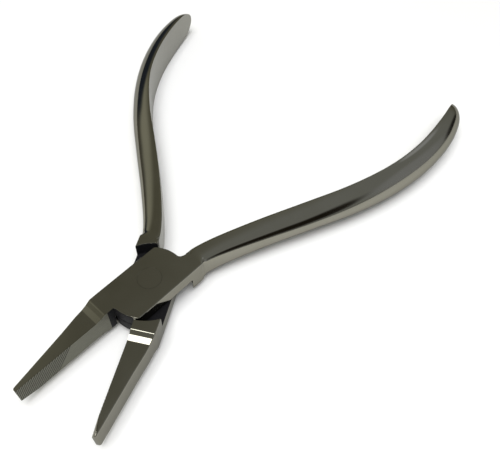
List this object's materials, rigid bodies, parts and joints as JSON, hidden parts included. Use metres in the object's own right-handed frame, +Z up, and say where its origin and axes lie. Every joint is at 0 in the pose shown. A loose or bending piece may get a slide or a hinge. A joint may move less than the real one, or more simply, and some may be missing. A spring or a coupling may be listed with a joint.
{
  "type": "flat nose pliers",
  "caption": "Lap-jointed flat nose pliers for jewellery work: two turned-over forged halves with flat serrated jaws, slim curved bare-metal handles and a flush rivet.",
  "frame": {"origin": "on the rivet's axis, at the joint's lower flat face", "axes": "+Z up the rivet's axis, square to the joint's flat faces; +Y from the rivet towards the handles, midway between them in the open rest pose"},
  "size_m": [0.0904, 0.1187, 0.0099],
  "materials": {
    "polished_steel": "polished",
    "rivet_steel": "ground flush and polished"
  },
  "bodies": {
    "lower": {"lower_half": "polished_steel", "pivot_rivet": "rivet_steel"},
    "upper": {"upper_half": "polished_steel"}
  },
  "joints": [
    {"name": "pivot", "type": "hinge", "parent": "lower", "child": "upper", "pos_m": [0, 0, 0.00325], "axis": [0, 0, 1], "range_deg": [-15, 29.7]}
  ]
}
